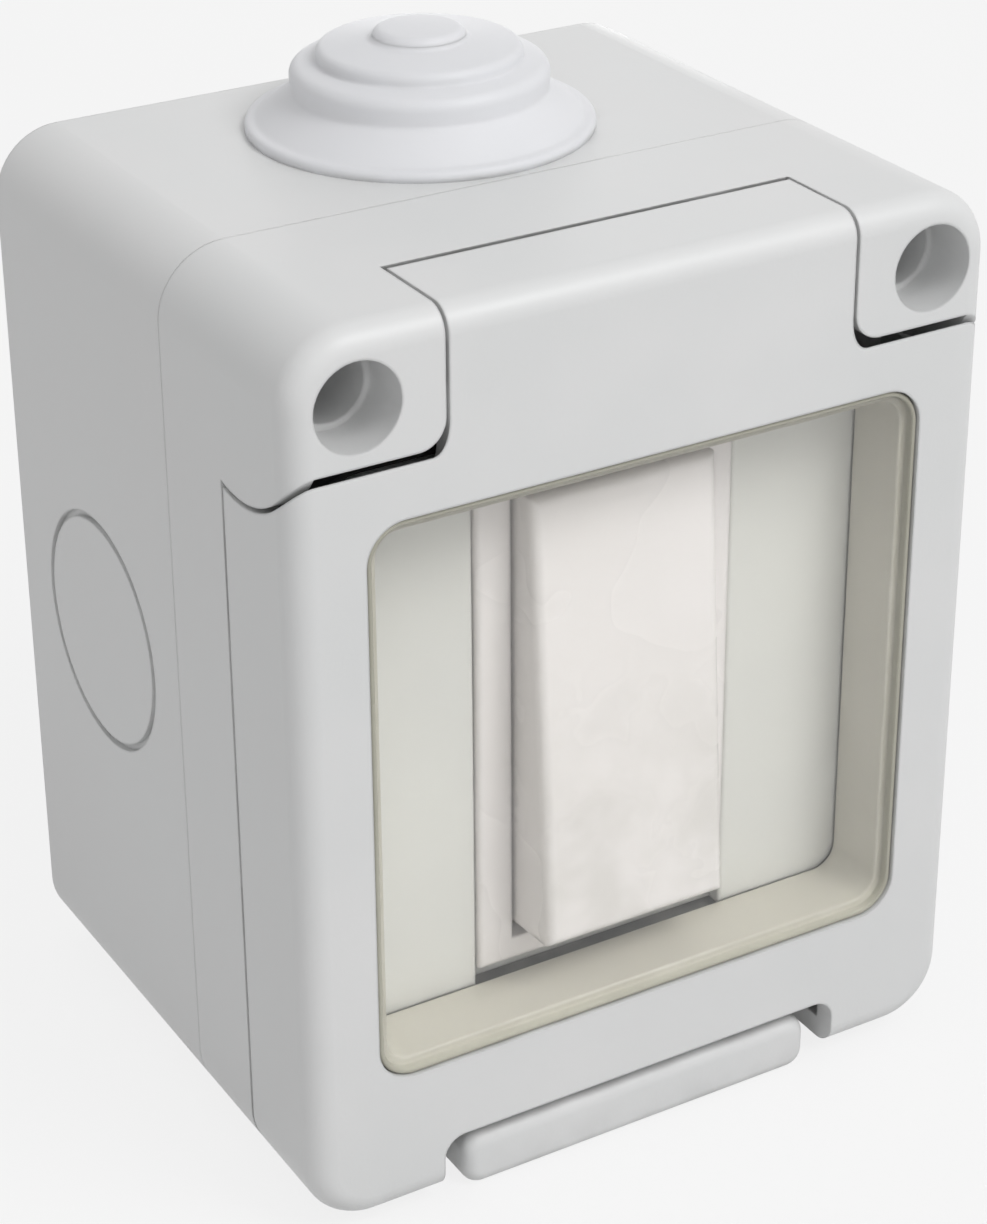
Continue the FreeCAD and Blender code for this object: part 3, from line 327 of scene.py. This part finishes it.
def clearWindow(look):
    # clear moulded sheet that lets the lamps reach what stands behind it
    material, tree, shader = newMaterial("clear_window")
    shader.inputs["Base Color"].default_value = linear(*look["clear"])
    shader.inputs["Transmission Weight"].default_value = 1.0
    shader.inputs["IOR"].default_value = look["bend"]
    grain = placeGroup(
        tree, mouldGrain, (-6, 0), Grain_Size=look["grain"], Wave_Size=look["wave"], Pits=look["pits"]
    )
    rough = spread(tree, grain["Tone"], look["roughTones"], (-3, 0), look["rough"])
    tree.links.new(rough, shader.inputs["Roughness"])
    addBump(tree, shader, look, grain["Tone"], (-2, -2))
    through = addNode(tree, "BsdfTransparent", (1, -2))
    through.inputs["Color"].default_value = linear(*look["shadow"])
    ray = addNode(tree, "LightPath", (1, 2))
    mixShaders(tree, ray.outputs["Is Shadow Ray"], shader, through, "Material Output")
    return material


def mixShaders(tree, share, first, second, output):
    either = addNode(tree, "MixShader", (3, 0))
    tree.links.new(share, either.inputs[0])
    tree.links.new(first.outputs[0], either.inputs[1])
    tree.links.new(second.outputs[0], either.inputs[2])
    tree.links.new(either.outputs[0], tree.nodes[output].inputs["Surface"])


finishes = {slot: surface(slot, {**plain, **look}) for slot, look in looks.items()}
finishes["clear_window"] = clearWindow(clearSheet)
print("finishes made:", len(finishes))

for item in nodes.values():
    for entry in item.material_slots:
        entry.material = finishes[entry.material.name.split(".")[0]]
print("finishes given to", len(nodes), "nodes")


def newPiece(name, mesh, body, slot, stoodFor, *finishNames):
    piece = bpy.data.objects.new(name, mesh)
    scene.collection.objects.link(piece)
    for finish in finishNames:
        mesh.materials.append(finishes[finish])
    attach(piece, body)
    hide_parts(stoodFor)


def joinRings(shape, one, two):
    # band of faces between two rings of corners, either may be a single point
    count = max(len(one), len(two))
    band = []
    for number in range(count):
        after = (number + 1) % count
        corners = (
            one[number % len(one)], one[after % len(one)], two[after % len(two)], two[number % len(two)],
        )
        band.append(shape.faces.new(list(dict.fromkeys(corners))))
    return band


def closeMesh(name, shape):
    mesh = bpy.data.meshes.new(name)
    shape.to_mesh(mesh)
    shape.free()
    return mesh


def roundCorners(corners, steps):
    # profile corners (across, up, radius) to a line with an arc at each corner
    line = []
    for index, (x, y, radius) in enumerate(corners):
        here = Vector((x, y))
        if radius == 0 or index in (0, len(corners) - 1):
            line.append(here)
            continue
        before = (Vector(corners[index - 1][:2]) - here).normalized()
        after = (Vector(corners[index + 1][:2]) - here).normalized()
        half = before.angle(after) / 2
        middle = here + (before + after).normalized() * (radius / math.sin(half))
        start = here + before * (radius / math.tan(half)) - middle
        end = here + after * (radius / math.tan(half)) - middle
        turn = start.angle_signed(end)
        for step in range(steps + 1):
            line.append(middle + Matrix.Rotation(-turn * step / steps, 2) @ start)
    return line


membrane = {
    "axis": (0.0, -17.0), "seat": 41.0, "turns": 160, "arcSteps": 6, "onAxis": 1e-6,
    # corners as (from the axis, above the seat, radius), outside first, then the underside
    "outer": [
        (0.0, 8.8, 0), (3.9, 8.75, 0.9), (4.15, 7.75, 0.5), (9.05, 7.25, 0.75), (8.95, 6.1, 0.25),
        (11.4, 5.65, 1.1), (11.2, 3.35, 0.35), (14.35, 0.95, 0.5), (15.3, 0.85, 0.45), (15.3, 0.0, 0),
    ],
    "under": [
        (10.45, 0.0, 0), (10.45, -2.2, 0), (11.8, -2.2, 0.2), (9.15, -3.6, 0.2), (9.15, 4.3, 0.3),
        (7.7, 4.3, 0.3), (7.7, 5.9, 0.4), (2.6, 5.9, 0.3), (2.6, 7.5, 0.4), (0.0, 7.5, 0),
    ],
}


def latheRing(shape, point):
    # corners round the up axis, one alone where the line meets that axis
    if point.x < membrane["onAxis"]:
        return [shape.verts.new((0, 0, point.y * mm))]
    ring = []
    for turn in range(membrane["turns"]):
        angle = 2 * math.pi * turn / membrane["turns"]
        corner = Vector((point.x * math.cos(angle), point.x * math.sin(angle), point.y))
        ring.append(shape.verts.new(corner * mm))
    return ring


def makeMembrane():
    # stepped grommet, closed at both ends of its line
    shape = bmesh.new()
    line = roundCorners(membrane["outer"] + membrane["under"], membrane["arcSteps"])
    rings = [latheRing(shape, point) for point in line]
    for one, two in zip(rings, rings[1:]):
        joinRings(shape, one, two)
    bmesh.ops.recalc_face_normals(shape, faces=shape.faces)
    mesh = closeMesh("grommet_membrane", shape)
    mesh.shade_smooth()
    across, deep = membrane["axis"]
    mesh.transform(Matrix.Translation(Vector((across, deep, membrane["seat"])) * mm))
    newPiece("grommet_membrane", mesh, "housing", "grommet_rubber", "cable_grommet", "grommet_rubber")


coil = {
    "pivot": (0.0, -42.0, -0.8), "tilt": -4.0, "start": 0.32, "end": 7.45,
    "radius": 1.15, "wire": 0.25, "turns": 5,
    "closed": 1.1, "closedPitch": 2.1,  # turns that lie together at each end, pitch in wire radii
    "steps": 36, "sides": 12,
}


def coilPath():
    # middle line of the wire, from the pivot outwards
    pitch = coil["wire"] * coil["closedPitch"]
    openRise = coil["end"] - coil["start"] - 2 * coil["closed"] * pitch
    turns = coil["turns"] + 2 * coil["closed"]
    count = int(turns * coil["steps"])
    path = []
    for step in range(count + 1):
        turn = turns * step / count
        low = min(turn, coil["closed"]) * pitch
        high = max(0.0, turn - turns + coil["closed"]) * pitch
        middle = min(max(turn - coil["closed"], 0.0), coil["turns"]) / coil["turns"]
        rise = coil["start"] + low + high + middle * openRise
        angle = 2 * math.pi * turn
        path.append(Vector((coil["radius"] * math.cos(angle), -rise, coil["radius"] * math.sin(angle))))
    return path


def makeCoil():
    # round wire with a closed turn at each end, standing in the rocker's post
    path = coilPath()
    last = len(path) - 1
    shape = bmesh.new()
    rings = []
    for index, point in enumerate(path):
        along = (path[min(index + 1, last)] - path[max(index - 1, 0)]).normalized()
        out = Vector((point.x, 0, point.z)).normalized()
        side = along.cross(out).normalized()
        ring = []
        for number in range(coil["sides"]):
            angle = 2 * math.pi * number / coil["sides"]
            skin = (out * math.cos(angle) + side * math.sin(angle)) * coil["wire"]
            ring.append(shape.verts.new((point + skin) * mm))
        rings.append(ring)
    for one, two in zip(rings, rings[1:]):
        joinRings(shape, one, two)
    shape.faces.new(rings[0])
    shape.faces.new(rings[-1])
    bmesh.ops.recalc_face_normals(shape, faces=shape.faces)
    mesh = closeMesh("coil_spring", shape)
    mesh.shade_smooth()
    turn = Matrix.Rotation(math.radians(coil["tilt"]), 4, "X")
    mesh.transform(Matrix.Translation(Vector(coil["pivot"]) * mm) @ turn)
    newPiece("coil_spring", mesh, "rocker", "spring_steel", "plunger_spring", "spring_steel")


window = {
    "half": (26.4, 25.95), "middle": -1.65, "corner": 3.4, "steps": 10, "sharp": 35.0,
    # rings of the tray as (inset from the outline, depth from the wall), outside first
    "tray": [
        (0.0, 47.35), (0.0, 54.55), (0.08, 54.73), (0.25, 54.8), (0.42, 54.73), (0.5, 54.55), (0.5, 53.45),
        (0.58, 53.4), (1.1, 53.4), (1.2, 53.3), (1.2, 47.25), (1.1, 47.15), (0.2, 47.15),
    ],
    "rim": range(1, 6),  # bands of the tray at its front rim, which take the darker finish of painted shade
    # the sheet's edge is moulded into the tray's rim
    "pane": [(0.4, 53.45), (0.4, 54.7)],
}


def outlineRing(shape, inset, depth):
    # one loop of corners round the window, with an arc of its own at each corner
    halfWide, halfHigh = window["half"]
    radius = window["corner"] - inset
    steps = window["steps"]
    ring = []
    for quarter, (right, up) in enumerate(((1, 1), (-1, 1), (-1, -1), (1, -1))):
        for step in range(steps + 1):
            angle = math.pi / 2 * (quarter + step / steps)
            across = right * (halfWide - window["corner"]) + radius * math.cos(angle)
            high = up * (halfHigh - window["corner"]) + radius * math.sin(angle) + window["middle"]
            ring.append(shape.verts.new((across * mm, -depth * mm, high * mm)))
    return ring


def makeWindow(name, rings, *finishNames, capped=False, rim=()):
    # moulded cover in its two looks: clear sheet in front, milky walls that stand behind it
    shape = bmesh.new()
    loops = [outlineRing(shape, *given) for given in rings]
    pairs = list(zip(loops, loops[1:]))
    caps = []
    if capped:
        caps = [shape.faces.new(loops[0]), shape.faces.new(loops[-1])]
    else:
        pairs.append((loops[-1], loops[0]))
    for row, (one, two) in enumerate(pairs):
        for face in joinRings(shape, one, two):
            face.material_index = int(row in rim)
    bmesh.ops.recalc_face_normals(shape, faces=shape.faces)
    for face in shape.faces:
        face.smooth = face not in caps
    mesh = closeMesh(name, shape)
    mesh.set_sharp_from_angle(angle=math.radians(window["sharp"]))
    newPiece(name, mesh, "lid", "clear_window", "window_cover", *finishNames)


makeMembrane()
makeCoil()
# the rim's bands take the darker finish with painted shade
makeWindow("window_tray", window["tray"], "window_tray", "window_rim_painted_shade", rim=window["rim"])
makeWindow("window_pane", window["pane"], "clear_window", capped=True)
print("soft, sprung and clear pieces made")


# lengths in metres; a strength of 1 shows as white
studio = {
    "floorColour": (205, 205, 205), "floorRough": 0.8, "floorWhite": 0.82, "floorHalf": 3.0,
    "skyLight": 0.53, "skyColour": (1, 1, 1, 1), "white": 1.0,
}


def backgroundRay(tree):
    # rays that see the background, straight, mirrored or through the window
    ray = addNode(tree, "LightPath", (-6, 2)).outputs
    seen = mathNode(tree, "MAXIMUM", ray["Is Camera Ray"], ray["Is Glossy Ray"], (-4, 2))
    return mathNode(tree, "MAXIMUM", seen, ray["Is Transmission Ray"], (-3, 2))


def makeFloor():
    # pale paper under the part, part white to the eye and part lit, so that the shadow stays
    mesh = bpy.data.meshes.new("floor")
    half = studio["floorHalf"]
    low = cadLow.z
    corners = [(-half, -half, low), (half, -half, low), (half, half, low), (-half, half, low)]
    mesh.from_pydata(corners, [], [(0, 1, 2, 3)])
    floor = bpy.data.objects.new("floor", mesh)
    scene.collection.objects.link(floor)
    material, tree, shader = newMaterial("floor_paper")
    shader.inputs["Base Color"].default_value = linear(*studio["floorColour"])
    shader.inputs["Roughness"].default_value = studio["floorRough"]
    glow = addNode(tree, "Emission", (0, -2))
    glow.inputs["Strength"].default_value = studio["white"]
    share = mathNode(tree, "MULTIPLY", backgroundRay(tree), studio["floorWhite"], (-1, 2))
    mixShaders(tree, share, shader, glow, "Material Output")
    mesh.materials.append(material)


def makeSky():
    world = bpy.data.worlds.new("studio")
    scene.world = world
    world.use_nodes = True
    tree = world.node_tree
    sky = tree.nodes["Background"]
    white = addNode(tree, "Background", (0, -2))
    for light, strength in ((sky, studio["skyLight"]), (white, studio["white"])):
        light.inputs["Color"].default_value = studio["skyColour"]
        light.inputs["Strength"].default_value = strength
    mixShaders(tree, backgroundRay(tree), sky, white, "World Output")


# places and sizes in metres, power in watts
lamps = {
    "key": {"from": (0.20, -0.46, 0.52), "power": 2.05, "size": 0.34},
    "front": {"from": (-0.28, -0.62, 0.24), "power": 0.42, "size": 0.5},
    "rear": {"from": (0.36, 0.62, 0.02), "power": 0.55, "size": 0.3},
}
lampAim = (0, -0.028, 0.004)


def makeLamps():
    for name, values in lamps.items():
        lamp = bpy.data.lights.new(name, "AREA")
        lamp.shape = "DISK"
        lamp.size = values["size"]
        lamp.energy = values["power"]
        item = bpy.data.objects.new(name, lamp)
        scene.collection.objects.link(item)
        item.location = values["from"]
        item.rotation_mode = "QUATERNION"
        item.rotation_quaternion = (Vector(lampAim) - item.location).to_track_quat("-Z", "Y")


# the photograph's own view: place in millimetres and turn in the part's frame, the rest in its pixels
shot = {
    "place": (-126.14, -243.59, 130.50),
    "right": (0.8642, -0.5030, -0.0093), "up": (0.2317, 0.3816, 0.8948), "back": (-0.4465, -0.7755, 0.4464),
    "focal": 3123.71, "centre": (467.72, 531.89), "image": (987, 1224),
    "sensor": 36.0, "clip": (0.01, 20.0),
}


def makeCamera():
    data = bpy.data.cameras.new("photo_view")
    camera = bpy.data.objects.new("photo_view", data)
    scene.collection.objects.link(camera)
    turn = Matrix((shot["right"], shot["up"], shot["back"])).transposed()
    camera.matrix_world = Matrix.Translation(Vector(shot["place"]) * mm) @ turn.to_4x4()
    width, height = shot["image"]
    longSide = max(width, height)
    data.sensor_width = shot["sensor"]
    data.lens = shot["focal"] * data.sensor_width / longSide
    data.shift_x = (width / 2 - shot["centre"][0]) / longSide
    data.shift_y = (shot["centre"][1] - height / 2) / longSide
    data.clip_start, data.clip_end = shot["clip"]
    scene.camera = camera


makeFloor()
makeSky()
makeLamps()
makeCamera()
scene.view_settings.view_transform = "Standard"
print("studio set")
